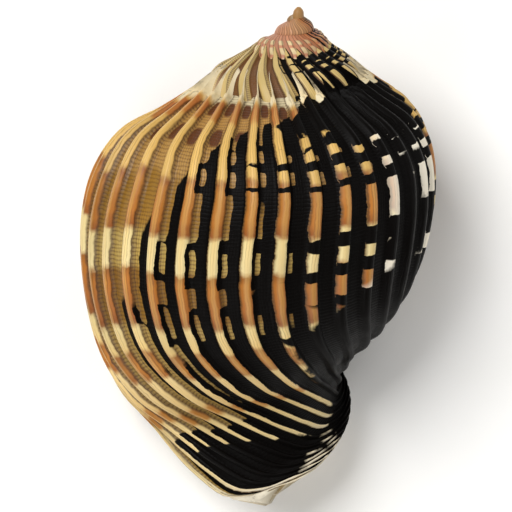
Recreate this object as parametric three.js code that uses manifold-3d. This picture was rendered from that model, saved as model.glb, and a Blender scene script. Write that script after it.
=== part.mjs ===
// A ribbed whelk shell, lying on its opening: one hollow coiled solid with its axial ribs, its open siphon
// notch and the smooth pillar inside. Lengths are in millimetres and angles in degrees, +Z is up and the apex
// points to +Y.
import * as THREE from "three";
import { mergeVertices } from "three/addons/utils/BufferGeometryUtils.js";
import Module from "manifold-3d";

const wasm = await Module();
wasm.setup();

// Driving dimensions of the coil.
const WHORL_GROWTH = 2.05; // every length grows by this in one whorl
const LIP_BEARING = -120; // where the outer lip stands round the axis; 0 is the middle of the back
const APEX_LIFT = 3.0; // how far the oldest whorls stand above the coil's pole
const LIFT_FADE = 0.2; // growth at which the lift has faded to a third
const LIP_DROP = 2.5; // how far the seam comes down over the last stretch of growth
const DROP_OVER = 75; // degrees of growth in that stretch

// The growth line, which is the outer lip's edge at full size and every earlier rib in small. Each point gives
// its distance from the axis, its depth below the pole, and how far it swings back round the axis.
const GROWTH_LINE = [
  [12.5, 9.7, -24],
  [17.0, 12.8, -14],
  [24.0, 16.8, -7],
  [30.2, 21.0, -3],
  [34.4, 28.4, 0],
  [36.2, 37.8, 0],
  [35.7, 49.0, 0],
  [32.4, 60.8, 4],
  [27.0, 68.4, 14],
  [19.6, 74.0, 28],
  [14.8, 79.2, 56],
  [13.4, 81.6, 80],
  [14.2, 80.4, 102],
  [14.8, 77.6, 124],
  [13.6, 74.8, 150],
  [10.9, 72.6, 178],
  [7.6, 71.8, 210],
];
const SWING_WEIGHT = 0.15; // millimetres of curve length that one degree of swing counts for

// The ribs.
const RIBS_PER_WHORL = 34;
const RIBS_PER_OLD_WHORL = 21;
const OLD_RIBS_FROM = 300; // degrees back from the lip where they turn fewer, broader and more slanting
const OLD_RIBS_OVER = 120;
const OLD_RIBS_BROADER = 0.18; // share of the rib spacing that they gain
const OLD_RIBS_SLANT = 24; // degrees that their upper end swings back over the whorl's ramp
const RIB_HEIGHT = 1.5; // at full size
const RIB_CREST = 0.3; // share of the rib spacing that the flat crest takes
const RIB_FOOT = 0.52; // share of the rib spacing between its two feet
const RIB_LEAN = 0.06; // share of the spacing by which the crest leans to the older side
const SPINE_HEIGHT = 2.4; // where the rib meets the seam
const GLAZED_FROM = -285; // growth angle behind which the ribs sink under the smooth glaze
const GLAZED_TO = -310;
const BARE_FROM = -390; // behind this they stand clear again, above the next whorl's seam
const BEADS_FROM = -640; // behind this the ribs are only two rows of beads over the seam below
const SMOOTH_FROM = -980; // behind this the whorls are smooth
const BEADS_OVER = 50; // degrees over which each of these changes

// The wall and the pillar.
const WALL = 1.7;
const LIP_WALL = 2.6;
const SEAM_THINNING = 0.5; // share of the wall that is lost where it runs out on the whorl before
const HIDDEN_SINK = 0.18; // the plain bands inside the shell keep this share of the wall off its surfaces
const LIP_THICKENS = 12; // degrees of growth over which the wall thickens to the lip
const WALL_START = -500; // growth angle where the open part of the coil ends inside
const CORE_RADIUS = 0.4;
const APEX_TURN = -1500;
const CHUNK = 13; // ribs in one band, under half a whorl
const SHORTEST_EDGE = 0.26;

// How it lies: on the outer lip, the end of the pillar and the swell of the last whorl.
const REST_ROLL = 7.6;
const REST_PITCH = 19.3;
const REST_FLAT = 0.3;

// The pillar round the axis, by its radius and its depth below the pole.
const PILLAR = [
  [0.3, -2.9],
  [0.8, -2.3],
  [0.95, -1.4],
  [1.0, -0.4],
  [1.2, 2],
  [2.6, 9],
  [5.0, 20],
  [7.5, 30],
  [8.6, 38],
  [8.4, 46],
  [7.6, 54],
  [6.4, 62],
  [5.2, 69],
  [3.7, 73.6],
  [1.5, 75.6],
];
const PILLAR_SIDES = 20;
const PILLAR_RINGS = 20;
const PILLAR_BEARING = 120; // the side to which its lower end leans
const PILLAR_DRIFT = 3;
const PILLAR_STRAIGHT_TO = 44;
const PILLAR_END = 74;

// Rows along the growth line, counted in its points.
const BODY_ROWS = [0, 1, 2, 3, 4, 5, 6, 7, 7.5, 8, 8.5, 9, 10, 11, 12, 13, 14, 16];
const RAMP_ROWS = [0, 0.5, 1, 2, 3, 4];
const BEAD_ROWS = [0, 2, 2.5, 3, 3.5, 4];
const TIP_ROWS = [0, 2, 3, 4];
const INNER_ROWS = [3, 4, 6, 8, 10, 13, 16];

const RADIAN = Math.PI / 180;
const curve = new THREE.CatmullRomCurve3(
  GROWTH_LINE.map(([r, depth, swing]) => new THREE.Vector3(r, depth, swing * SWING_WEIGHT)),
);
const lastRow = GROWTH_LINE.length - 1;

const clamp01 = (x) => Math.min(1, Math.max(0, x));
const smooth = (x) => clamp01(x) ** 2 * (3 - 2 * clamp01(x));
const growth = (turn) => WHORL_GROWTH ** (turn / 360);
const oldness = (turn) => smooth((-turn - OLD_RIBS_FROM) / OLD_RIBS_OVER);

// The plain coil: the point of the growth line's row at a growth angle, 0 at the lip and negative before it.
function coilPoint(turn, row) {
  const line = curve.getPoint(row / lastRow);
  const size = growth(turn);
  const slant = OLD_RIBS_SLANT * oldness(turn) * clamp01(1 - row / 4);
  const bearing = (LIP_BEARING - turn + line.z / SWING_WEIGHT - slant) * RADIAN;
  const drop = LIP_DROP * smooth(1 + turn / DROP_OVER) * (1 - smooth((row - 2) / 4));
  const lift = APEX_LIFT * Math.exp(-size / LIFT_FADE) - drop;
  return new THREE.Vector3(
    size * line.x * Math.sin(bearing),
    lift - size * line.y,
    size * line.x * Math.cos(bearing),
  );
}

// The outward normal and the direction towards the older side, from small steps on the plain coil.
function coilFrame(turn, row) {
  const low = Math.max(0, row - 0.05);
  const high = Math.min(lastRow, row + 0.05);
  const alongLine = coilPoint(turn, high).sub(coilPoint(turn, low));
  const older = coilPoint(turn - 0.5, row).sub(coilPoint(turn + 0.5, row)).normalize();
  return { normal: alongLine.cross(older).normalize(), older };
}

// The height of a rib at full size, by row: a spine at the seam, full on the body, low on the siphon band.
function ribHeight(row) {
  const spine = (SPINE_HEIGHT - RIB_HEIGHT) * (1 - smooth((row - 0.5) / 1.5));
  const toBand = smooth((row - 8) / 3);
  return (RIB_HEIGHT + spine) * (1 - 0.65 * toBand) * (1 - smooth((row - 14.5) / 1.5));
}

// 1 where the ribs show, 0 where the opening's glaze has buried them and on the smooth oldest whorls.
function ribShows(turn, row) {
  const bare = smooth((BARE_FROM - turn) / BEADS_OVER);
  const glazed = smooth((GLAZED_FROM - turn) / (GLAZED_FROM - GLAZED_TO)) * smooth((row - 2.5) / 1.5);
  const beaded = smooth((BEADS_FROM - turn) / BEADS_OVER);
  const bead = row < 2 ? 0 : Math.abs(Math.sin(Math.PI * row));
  const plain = smooth((SMOOTH_FROM - turn) / BEADS_OVER);
  return (1 - glazed * (1 - bare)) * (1 - beaded * (1 - bead)) * (1 - plain);
}

// The outer surface: rise is 1 on a rib's crest and 0 between the ribs.
function outerPoint(turn, row, rise) {
  const { normal, older } = coilFrame(turn, row);
  const size = growth(turn);
  const height = rise * ribHeight(row) * ribShows(turn, row) * size;
  return coilPoint(turn, row)
    .addScaledVector(normal, height)
    .addScaledVector(older, (rise * RIB_LEAN * size * GROWTH_LINE[5][0] * 360 * RADIAN) / RIBS_PER_WHORL);
}

// A point inside the wall: share is 0 on its outer and 1 on its inner surface.
function wallPoint(turn, row, share = 1) {
  const atLip = smooth(1 + turn / LIP_THICKENS);
  const atSeam = 1 - SEAM_THINNING * (1 - smooth(row / 2));
  const thickness = (WALL + (LIP_WALL - WALL) * atLip) * atSeam * (0.35 + 0.65 * growth(turn));
  return coilPoint(turn, row).addScaledVector(coilFrame(turn, row).normal, -share * thickness);
}

function corePoint(turn, row) {
  const point = coilPoint(turn, row);
  const radius = Math.hypot(point.x, point.z);
  const share = Math.min(1, CORE_RADIUS / radius);
  return new THREE.Vector3(point.x * share, point.y, point.z * share);
}

// The growth angles of all the ribs, newest first. The last whorl has more of them than the older ones.
function ribAngles() {
  const angles = [0];
  while (angles.at(-1) > APEX_TURN) {
    const perWhorl = RIBS_PER_WHORL + (RIBS_PER_OLD_WHORL - RIBS_PER_WHORL) * oldness(angles.at(-1));
    angles.push(angles.at(-1) - 360 / perWhorl);
  }
  return angles;
}

// The columns of a ribbed stretch: both edges of each crest and both feet. each is { turn, rise, group }.
function ribColumns(angles) {
  const columns = [];
  angles.slice(0, -1).forEach((turn, group) => {
    const spacing = turn - angles[group + 1];
    const crest = RIB_CREST + OLD_RIBS_BROADER * oldness(turn);
    const flank = (RIB_FOOT - RIB_CREST) * 0.5;
    columns.push({ turn, rise: 1, group });
    columns.push({ turn: turn - crest * spacing, rise: 1, group });
    columns.push({ turn: turn - (crest + flank) * spacing, rise: 0, group });
    columns.push({ turn: turn - (1 - flank) * spacing, rise: 0, group });
  });
  columns.push({ turn: angles[angles.length - 1], rise: 1, group: angles.length - 1 });
  return columns;
}

const crestAndFoot = (list) =>
  list.flatMap((turn, group) => [
    { turn, rise: 1, group },
    ...(group + 1 < list.length ? [{ turn: (turn + list[group + 1]) / 2, rise: 0, group }] : []),
  ]);

// Turns loose triangles into a manifold-3d solid, which joins the corners that meet.
function solidFrom(triangles) {
  const geometry = new THREE.BufferGeometry().setFromPoints(triangles);
  const merged = mergeVertices(geometry, 1e-4);
  return new wasm.Manifold(
    new wasm.Mesh({
      numProp: 3,
      vertProperties: merged.getAttribute("position").array,
      triVerts: new Uint32Array(merged.index.array),
    }),
  );
}

// A closed band of shell between an outer grid, with several columns a rib, and a coarser inner grid with
// one.
function bandSolid(columns, rows, inner, outer = outerPoint) {
  const outerGrid = columns.map(({ turn, rise }) => rows.map((row) => outer(turn, row, rise)));
  const heads = columns.filter((c, i) => i === 0 || c.group !== columns[i - 1].group);
  const innerGrid = heads.map(({ turn }) => rows.map((row) => inner(turn, row)));
  const triangles = [];
  const triangle = (a, b, c) => triangles.push(a, c, b);
  const quad = (a, b, c, d) => {
    triangle(a, b, c);
    triangle(a, c, d);
  };
  const lines = rows.length - 1;
  for (let i = 0; i + 1 < columns.length; i++) {
    const [near, far] = [outerGrid[i], outerGrid[i + 1]];
    for (let j = 0; j < lines; j++) quad(near[j], far[j], far[j + 1], near[j + 1]);
    const group = columns[i].group;
    triangle(far[0], near[0], innerGrid[group][0]);
    triangle(near[lines], far[lines], innerGrid[group][lines]);
    if (columns[i + 1].group !== group) {
      triangle(far[0], innerGrid[group][0], innerGrid[group + 1][0]);
      triangle(innerGrid[group][lines], far[lines], innerGrid[group + 1][lines]);
    }
  }
  for (let g = 0; g + 1 < heads.length; g++) {
    const [near, far] = [innerGrid[g], innerGrid[g + 1]];
    for (let j = 0; j < lines; j++) quad(near[j + 1], far[j + 1], far[j], near[j]);
  }
  const last = columns.length - 1;
  for (let j = 0; j < lines; j++) {
    quad(outerGrid[0][j], outerGrid[0][j + 1], innerGrid[0][j + 1], innerGrid[0][j]);
    quad(outerGrid[last][j + 1], outerGrid[last][j], innerGrid.at(-1)[j], innerGrid.at(-1)[j + 1]);
  }
  return solidFrom(triangles);
}

// The pillar: a turned solid whose centre drifts to one side as it goes down.
function pillarSolid() {
  const profile = new THREE.SplineCurve(PILLAR.map(([radius, depth]) => new THREE.Vector2(radius, depth)));
  const rings = profile.getPoints(PILLAR_RINGS).map(({ x, y }) => {
    const drift = PILLAR_DRIFT * smooth((y - PILLAR_STRAIGHT_TO) / (PILLAR_END - PILLAR_STRAIGHT_TO));
    return Array.from({ length: PILLAR_SIDES }, (_, k) => {
      const angle = (k * 2 * Math.PI) / PILLAR_SIDES;
      return new THREE.Vector3(
        drift * Math.sin(PILLAR_BEARING * RADIAN) + x * Math.sin(angle),
        -y,
        drift * Math.cos(PILLAR_BEARING * RADIAN) + x * Math.cos(angle),
      );
    });
  });
  const triangles = [];
  rings.slice(0, -1).forEach((ring, i) => {
    ring.forEach((point, k) => {
      const next = (k + 1) % PILLAR_SIDES;
      triangles.push(point, rings[i + 1][k], rings[i + 1][next]);
      triangles.push(point, rings[i + 1][next], ring[next]);
    });
  });
  const middle = (ring) => ring.reduce((sum, p) => sum.add(p), new THREE.Vector3()).divideScalar(ring.length);
  const [top, bottom] = [middle(rings[0]), middle(rings.at(-1))];
  rings[0].forEach((point, k) => triangles.push(top, point, rings[0][(k + 1) % PILLAR_SIDES]));
  rings.at(-1).forEach((point, k) => triangles.push(bottom, rings.at(-1)[(k + 1) % PILLAR_SIDES], point));
  return solidFrom(triangles);
}

// Closes up every edge shorter than a limit, where that leaves one closed surface. Gives a corner list.
function withoutShortEdges({ vertProperties, triVerts }, limit) {
  const at = (v) => new THREE.Vector3().fromArray(vertProperties, 3 * v);
  const face = (i) => [...triVerts.subarray(3 * i, 3 * i + 3)];
  const faces = Array.from({ length: triVerts.length / 3 }, (_, i) => face(i));
  const facesAt = Array.from({ length: vertProperties.length / 3 }, () => new Set());
  faces.forEach((each) => each.forEach((v) => facesAt[v].add(each)));
  const neighbours = (v) => new Set([...facesAt[v]].flat().filter((other) => other !== v));
  const facing = (each) => new THREE.Triangle(...each.map(at)).getNormal(new THREE.Vector3());
  for (const each of faces) {
    for (const [keep, drop] of [[0, 1], [1, 2], [2, 0]].map((pair) => pair.map((k) => each[k]))) {
      if (!facesAt[keep].has(each) || !facesAt[drop].has(each) || keep === drop) continue;
      if (at(keep).distanceTo(at(drop)) > limit) continue;
      const around = neighbours(keep);
      if ([...neighbours(drop)].filter((v) => around.has(v)).length !== 2) continue;
      const moved = [...facesAt[drop]].filter((other) => !other.includes(keep));
      const swapped = (other) => other.map((v) => (v === drop ? keep : v));
      if (moved.some((other) => facing(swapped(other)).dot(facing(other)) < 0.2)) continue;
      [...facesAt[drop]].filter((other) => other.includes(keep)).forEach((other) => {
        other.forEach((v) => facesAt[v].delete(other));
      });
      moved.forEach((other) => {
        other[other.indexOf(drop)] = keep;
        facesAt[keep].add(other);
      });
      facesAt[drop].clear();
      break;
    }
  }
  return faces.filter((each) => facesAt[each[0]].has(each)).flat().map(at);
}

const angles = ribAngles();
const ribAt = (turn) => angles.findIndex((angle) => angle <= turn);
const plainColumns = (list) => list.map((turn, group) => ({ turn, rise: 0, group }));

// Bands between two ribs of the list, each short enough not to meet itself on the way round.
function bands(first, last, columnsOf, rows, inner, outer) {
  const made = [];
  for (let i = first; i < last; i += CHUNK) {
    made.push(bandSolid(columnsOf(angles.slice(i, Math.min(i + CHUNK, last) + 1)), rows, inner, outer));
  }
  return made;
}

const glazed = ribAt(GLAZED_TO);
const plug = ribAt(WALL_START);
const plugEnd = ribAt(WALL_START - 330);
const beads = ribAt(BEADS_FROM - BEADS_OVER);
const smoothed = ribAt(SMOOTH_FROM - BEADS_OVER);
const sunk = (turn, row) => wallPoint(turn, row, HIDDEN_SINK);
const raised = (turn, row) => wallPoint(turn, row, 1 - HIDDEN_SINK);
const pieces = [
  ...bands(0, glazed, ribColumns, BODY_ROWS, wallPoint),
  ...bands(glazed - 1, plug, plainColumns, INNER_ROWS, raised, sunk),
  ...bands(glazed, plug, ribColumns, RAMP_ROWS, wallPoint),
  ...bands(plug - 1, plugEnd, plainColumns, INNER_ROWS, corePoint, sunk),
  ...bands(plug - 1, beads, ribColumns, RAMP_ROWS, corePoint),
  ...bands(beads, smoothed, crestAndFoot, BEAD_ROWS, corePoint),
  ...bands(smoothed, angles.length - 1, plainColumns, TIP_ROWS, corePoint),
  pillarSolid(),
];
const joined = pieces.reduce((sum, piece) => sum.add(piece));

// The largest body of a solid, without loose crumbs or specks of air sealed between the whorls.
const largestBody = (solid) => solid.decompose().sort((a, b) => b.volume() - a.volume())[0];
const corners = withoutShortEdges(largestBody(joined).getMesh(), SHORTEST_EDGE);

// Lays the shell down: it rolls about its own axis, then the apex lifts, and the lowest points are cut to
// small flats.
const laid = new THREE.Matrix4()
  .makeRotationX(REST_PITCH * RADIAN)
  .multiply(new THREE.Matrix4().makeRotationY(REST_ROLL * RADIAN));
corners.forEach((corner) => corner.applyMatrix4(laid));
const box = new THREE.Box3().setFromPoints(corners);
const middle = box.getCenter(new THREE.Vector3());
const shift = new THREE.Vector3(-middle.x, -middle.y, -box.min.z - REST_FLAT);
corners.forEach((corner) => corner.add(shift));
const below = new THREE.BoxGeometry(200, 200, 20).translate(0, 0, -10).toNonIndexed();
below.deleteAttribute("normal");
below.deleteAttribute("uv");
const cornerOf = (i) => new THREE.Vector3().fromBufferAttribute(below.attributes.position, i);
const floorCorners = Array.from({ length: 36 }, (_, i) => cornerOf(i));
const standing = solidFrom(corners).subtract(solidFrom(floorCorners));
const mesh = largestBody(standing).getMesh();

const geometry = new THREE.BufferGeometry();
geometry.setAttribute("position", new THREE.BufferAttribute(mesh.vertProperties, 3));
geometry.setIndex(new THREE.BufferAttribute(mesh.triVerts, 1));
geometry.computeVertexNormals();
const shell = new THREE.Mesh(
  geometry,
  new THREE.MeshStandardMaterial({ color: "#d8b27a", roughness: 0.35, metalness: 0 }),
);
shell.name = "shell";
const group = new THREE.Group();
group.add(shell);
export default group;
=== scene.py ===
"""A ribbed whelk shell lying on its opening, and its stage.

The shell is one closed spiral surface with its ribs, colours and glaze. Its sizes are worked out in
millimetres in the shell's own upright frame: the coil's axis is Y, the apex points to +Y and the middle of
the back faces +Z. The last step lays the shell down and turns millimetres to metres.
"""

import math

import bpy
import numpy as np
from bpy.props import FloatProperty, FloatVectorProperty, IntProperty, PointerProperty
from mathutils import Matrix, Vector


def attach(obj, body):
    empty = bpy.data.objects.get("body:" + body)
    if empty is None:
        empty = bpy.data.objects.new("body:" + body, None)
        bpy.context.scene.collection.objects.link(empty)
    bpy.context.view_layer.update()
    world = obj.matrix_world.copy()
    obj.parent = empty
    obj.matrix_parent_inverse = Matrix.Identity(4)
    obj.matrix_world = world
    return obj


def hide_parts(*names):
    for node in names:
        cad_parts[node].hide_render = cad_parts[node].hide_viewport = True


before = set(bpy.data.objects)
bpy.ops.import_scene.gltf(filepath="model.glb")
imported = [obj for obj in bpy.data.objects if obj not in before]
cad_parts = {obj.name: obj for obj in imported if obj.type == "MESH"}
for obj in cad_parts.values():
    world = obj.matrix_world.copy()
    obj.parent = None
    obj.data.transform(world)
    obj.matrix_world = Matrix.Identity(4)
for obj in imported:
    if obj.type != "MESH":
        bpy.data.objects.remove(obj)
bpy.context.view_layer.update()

bl_info = {
    "name": "Ribbed Whelk Shell",
    "version": (1, 0, 0),
    "blender": (4, 5, 0),
    "location": "View3D > Sidebar > Shell",
    "description": "Builds a ribbed and banded whelk shell that lies on its opening, in a plain studio",
    "category": "Add Mesh",
}

# The coil, as in the solid model. Growth angles are degrees back from the lip, so they are negative.
WHORL_GROWTH = 2.05  # every length grows by this in one whorl
LIP_BEARING = -120.0  # degrees round the axis at which the outer lip stands; 0 is the middle of the back
APEX_LIFT = 3.0  # how far the oldest whorls stand above the coil's pole
LIFT_FADE = 0.2  # growth at which the lift has faded to a third
LIP_DROP = 2.5  # how far the seam comes down over the last stretch of growth
DROP_OVER = 75.0  # degrees of growth in that stretch
APEX_TURN = -1500.0  # the growth angle at the apex
OLD_TURN = -520.0  # behind this only the ramp of each whorl is in sight
FILLED_TURN = -500.0  # behind this the whorls are solid

# The growth line: distance from the axis, depth below the pole, swing back round the axis in degrees.
GROWTH_LINE = np.array(
    [
        [12.5, 9.7, -24],
        [17.0, 12.8, -14],
        [24.0, 16.8, -7],
        [30.2, 21.0, -3],
        [34.4, 28.4, 0],
        [36.2, 37.8, 0],
        [35.7, 49.0, 0],
        [32.4, 60.8, 4],
        [27.0, 68.4, 14],
        [19.6, 74.0, 28],
        [14.8, 79.2, 56],
        [13.4, 81.6, 80],
        [14.2, 80.4, 102],
        [14.8, 77.6, 124],
        [13.6, 74.8, 150],
        [10.9, 72.6, 178],
        [7.6, 71.8, 210],
    ]
)
SWING_WEIGHT = 0.15  # millimetres of curve length that one degree of swing counts for
LAST_ROW = len(GROWTH_LINE) - 1

# The ribs.
RIBS_PER_WHORL = 34
RIBS_PER_OLD_WHORL = 21
OLD_RIBS_FROM = 300.0  # degrees back from the lip at which the ribs start to turn into the older kind
OLD_RIBS_OVER = 120.0  # degrees that this change takes
OLD_RIBS_BROADER = 0.18  # how much more of their spacing the older ribs take
OLD_RIBS_SLANT = 24.0  # degrees by which an older rib slants over its whorl's ramp
RIB_CREST = 0.3  # share of the spacing that a rib's crest takes
RIB_SIDE = 0.14  # share of the spacing that each of its sides takes
RIB_DOME = 0.14  # share of its height by which the crest falls off towards its sides
RIB_POINT = 0.88  # share of its width that a rib loses at the seam
RIB_LEAN = 0.06  # share of the spacing by which a crest leans to the older side
WIDEST_RADIUS = 36.0
GLAZED_FROM = -285.0  # from here to GLAZED_TO the opening's glaze comes to bury the ribs
GLAZED_TO = -310.0
BARE_FROM = -390.0  # behind this the glaze has ended
BEADS_FROM = -640.0  # behind this the ribs are rows of beads
SMOOTH_FROM = -980.0  # behind this the whorls are smooth
BEADS_OVER = 50.0  # degrees that each of these last three changes takes

# The wall at full size.
LIP_WALL = 2.6
LIP_THICKENS = 12.0  # degrees of growth behind the lip over which the wall thickens
SEAM_THINNING = 0.5  # share of the wall that is gone at the seam
WALL_KEPT = 0.35  # share of the wall that doesn't shrink with the coil
CORE_RADIUS = 0.4  # distance from the axis at which the inner surface runs in the solid whorls

# The pillar's profile: radius and depth below the pole.
PILLAR = np.array(
    [
        [0.3, -2.9],
        [0.8, -2.3],
        [0.95, -1.4],
        [1.0, -0.4],
        [1.2, 2],
        [2.6, 9],
        [5.0, 20],
        [7.5, 30],
        [8.6, 38],
        [8.4, 46],
        [7.6, 54],
        [6.4, 62],
        [5.2, 69],
        [3.7, 73.6],
        [1.5, 75.6],
    ]
)
PILLAR_BEARING = 120.0  # the side to which the pillar drifts, in degrees round the axis
PILLAR_DRIFT = 3.0  # how far it drifts
PILLAR_STRAIGHT_TO = 44.0  # the depth at which the drift starts
PILLAR_END = 74.0  # the depth at which it is complete

# How the shell lies: degrees of roll about its own axis, degrees by which the apex is lifted, and the move.
REST_ROLL = 7.6
REST_PITCH = 19.3
REST_SHIFT = np.array([5.471583, 39.311805, 29.393281])

# Fineness of the surface.
COLUMNS_PER_RIB = 12
COLUMNS_PER_OLD_RIB = 10
INNER_STEP = 4  # rows of the outer surface to one of the inner
BODY_ROWS = 96
RAMP_ROWS = 24
RAMP_END = 4.6  # row at which the ramp of an older whorl is well under the next whorl
LIP_RINGS = 5
LIP_ROLL = 84.0  # degrees through which each face rolls over at the lip
LET_IN = 0.14  # millimetres at full size by which the outer surface lies under the solid's curves

MM = 0.001


def smooth(x):
    """Zero below 0, one above 1, and the cubic 3x^2 - 2x^3 between."""
    x = np.clip(x, 0.0, 1.0)
    return x * x * (3 - 2 * x)


def growth(turn):
    """The size of the coil at a growth angle: WHORL_GROWTH to the power of the number of whorls."""
    return WHORL_GROWTH ** (turn / 360)


def oldness(turn):
    """How far the ribs have changed to the fewer, broader and more slanting ones of the older whorls."""
    return smooth((-turn - OLD_RIBS_FROM) / OLD_RIBS_OVER)


def between(p1, p2, start, finish, w):
    """The cubic from p1 to p2 that has the given slopes at its ends, at w from 0 to 1."""
    cubic = 2 * (p1 - p2) + start + finish
    square = 3 * (p2 - p1) - 2 * start - finish
    return p1 + w * (start + w * (square + w * cubic))


def through_points(points, u):
    """The centripetal Catmull-Rom curve through the points at parameters u from 0 to len(points) - 1.

    Each piece is a cubic. Its end slopes are those of the curve whose knots are spaced by the square roots of
    the distances between the points.
    """
    ends = np.vstack([2 * points[0] - points[1], points, 2 * points[-1] - points[-2]])
    piece = np.clip(np.floor(u).astype(int), 0, len(points) - 2)
    w = (u - piece)[..., None]
    p0, p1, p2, p3 = (ends[piece + k] for k in range(4))
    distances = (np.linalg.norm(b - a, axis=-1, keepdims=True) for a, b in ((p0, p1), (p1, p2), (p2, p3)))
    d0, d1, d2 = (np.sqrt(distance) for distance in distances)
    start = ((p1 - p0) / d0 - (p2 - p0) / (d0 + d1) + (p2 - p1) / d1) * d1
    finish = ((p2 - p1) / d1 - (p3 - p1) / (d1 + d2) + (p3 - p2) / d2) * d1
    return between(p1, p2, start, finish, w)


LINE = np.column_stack([GROWTH_LINE[:, 0], GROWTH_LINE[:, 1], GROWTH_LINE[:, 2] * SWING_WEIGHT])
FINE_ROWS = np.linspace(0, LAST_ROW, 1601)
FINE_LINE = through_points(LINE, FINE_ROWS)
LINE_STEPS = np.hypot(
    np.hypot(np.diff(FINE_LINE[:, 0]), np.diff(FINE_LINE[:, 1])),
    FINE_LINE[1:, 0] * np.diff(FINE_LINE[:, 2]) / SWING_WEIGHT * math.radians(1),
)
LINE_LENGTHS = np.concatenate([[0], np.cumsum(LINE_STEPS)])


def line_length(row):
    """Millimetres along the growth line at full size from the seam to a row."""
    return np.interp(row, FINE_ROWS, LINE_LENGTHS)


def bearing_of(turn):
    """Degrees round the axis from the middle of the back, -180 to 180, before the growth line's swing."""
    return (LIP_BEARING - turn + 180) % 360 - 180


def coil_point(turn, row):
    """A point of the plain coil: the growth line's point, turned round the axis and scaled about the pole.

    The distance from the axis is the size times the line's distance. The height is the lift of the oldest
    whorls less the drop of the seam, less the size times the line's depth. The bearing is the lip's less the
    growth angle, plus the swing, less the slant of the older whorls' ribs over their ramp.
    """
    line = through_points(LINE, row)
    size = growth(turn)
    slant = OLD_RIBS_SLANT * oldness(turn) * np.clip(1 - row / 4, 0, 1)
    bearing = np.radians(LIP_BEARING - turn + line[..., 2] / SWING_WEIGHT - slant)
    drop = LIP_DROP * smooth(1 + turn / DROP_OVER) * (1 - smooth((row - 2) / 4))
    lift = APEX_LIFT * np.exp(-size / LIFT_FADE) - drop
    radius = size * line[..., 0]
    height = lift - size * line[..., 1]
    return np.stack([radius * np.sin(bearing), height, radius * np.cos(bearing)], axis=-1)


def unit(vectors):
    """The vectors, each brought to length one."""
    return vectors / np.linalg.norm(vectors, axis=-1, keepdims=True)


def coil_frame(turn, row):
    """The outward normal and the direction to the older side, from small steps on the plain coil."""
    low, high = np.maximum(0, row - 0.05), np.minimum(LAST_ROW, row + 0.05)
    along = coil_point(turn, high) - coil_point(turn, low)
    older = unit(coil_point(turn - 0.5, row) - coil_point(turn + 0.5, row))
    return unit(np.cross(along, older)), older


def rib_turns():
    """The growth angles of all the ribs, newest first."""
    turns = [0.0]
    while turns[-1] > APEX_TURN:
        per_whorl = RIBS_PER_WHORL + (RIBS_PER_OLD_WHORL - RIBS_PER_WHORL) * float(oldness(turns[-1]))
        turns.append(turns[-1] - 360 / per_whorl)
    return np.array(turns)


RIB_TURNS = rib_turns()


def rib_count(turn):
    """How many ribs back from the lip a growth angle is, with the part of a rib as its fraction."""
    return np.interp(-turn, -RIB_TURNS, np.arange(len(RIB_TURNS)))


def glazed_over(turn, row):
    """How far the opening's glaze covers the older whorl, from 0 to 1."""
    bare = smooth((BARE_FROM - turn) / BEADS_OVER)
    glazed = smooth((GLAZED_FROM - turn) / (GLAZED_FROM - GLAZED_TO)) * smooth((row - 2.5) / 1.5)
    return glazed * (1 - bare)


def rib_shows(turn, row):
    """1 where the ribs show and 0 where they don't.

    They don't show under the opening's glaze, between the beads and on the oldest whorls.
    """
    beaded = smooth((BEADS_FROM - turn) / BEADS_OVER)
    bead = np.where(row < 2, 0.0, np.abs(np.sin(np.pi * row)))
    plain = smooth((SMOOTH_FROM - turn) / BEADS_OVER)
    return (1 - glazed_over(turn, row)) * (1 - beaded * (1 - bead)) * (1 - plain)


def rib_rise(turn, row):
    """The rib's profile from 0 between the ribs to 1 on the crest.

    It is a hump round the rib's middle with a slightly domed top. Its width runs out to a point at the seam.
    """
    half = (RIB_CREST + OLD_RIBS_BROADER * oldness(turn)) / 2
    off = np.abs((rib_count(turn) - half + 0.5) % 1.0 - 0.5)
    point = RIB_POINT * (1 - smooth((row - 0.75) / 0.9)) * (1 - 0.7 * oldness(turn))
    narrow = 1 - point
    hump = 1 - smooth((off - (half - 0.03) * narrow) / (RIB_SIDE * narrow))
    return hump * (1 - RIB_DOME * np.minimum(1, off / half) ** 2)


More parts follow.
